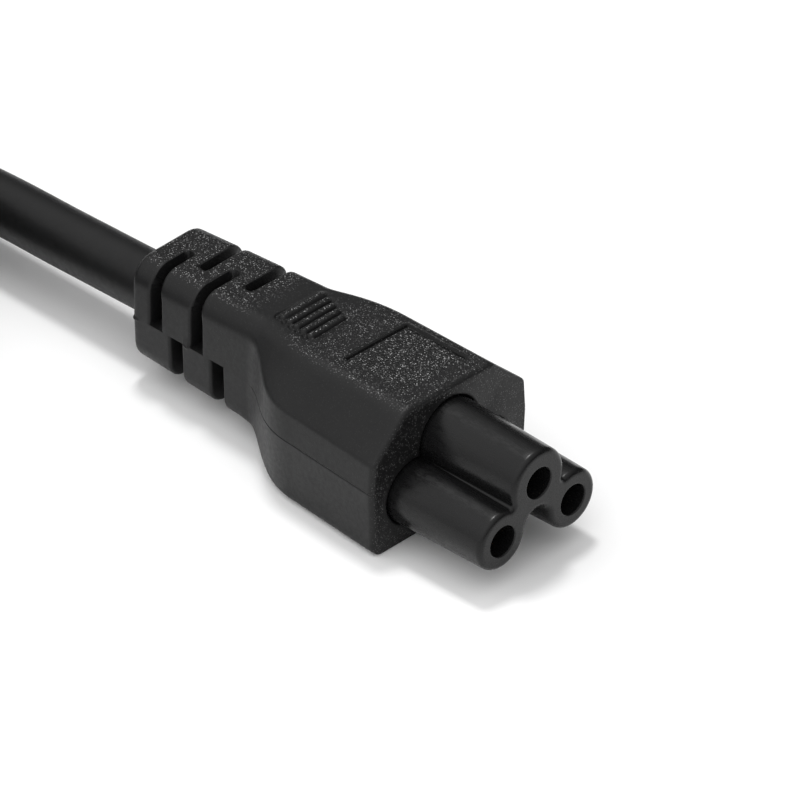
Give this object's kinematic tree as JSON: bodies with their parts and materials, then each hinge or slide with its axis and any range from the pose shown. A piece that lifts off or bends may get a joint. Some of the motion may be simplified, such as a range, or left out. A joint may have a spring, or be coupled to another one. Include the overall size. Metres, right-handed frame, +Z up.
{
  "type": "cloverleaf power cord",
  "caption": "Mains lead with a moulded cloverleaf connector, slotted strain relief, round cord wound in a tied coil, and a three-pin plug.",
  "frame": {"origin": "on the surface that the cord lies on, under the middle of the connector (from the nose's end to the strain relief's end, and midway across)", "axes": "+X out of the connector's nose, +Y to the side of the connector that faces away from the coil, +Z up"},
  "size_m": [0.1556, 0.0991, 0.0347],
  "materials": {
    "grained_black": "spark-eroded black PVC with a fine sparkling grain",
    "gloss_black": "smooth glossy black",
    "cord_black": "smooth satin black PVC sheath",
    "tie_black": "black plastic-coated wire strip",
    "brass": "plain",
    "nickel": "nickel-plated"
  },
  "bodies": {
    "root": {"connector_body": "grained_black", "connector_insert": "gloss_black", "contact_line": "brass", "contact_neutral": "brass", "contact_earth": "brass", "cord": "cord_black", "cord_coil": "cord_black", "cord_tie": "tie_black", "cord_tail": "cord_black", "plug_body": "grained_black", "plug_blade_line": "nickel", "plug_blade_neutral": "nickel", "plug_earth_pin": "nickel"}
  },
  "joints": []
}
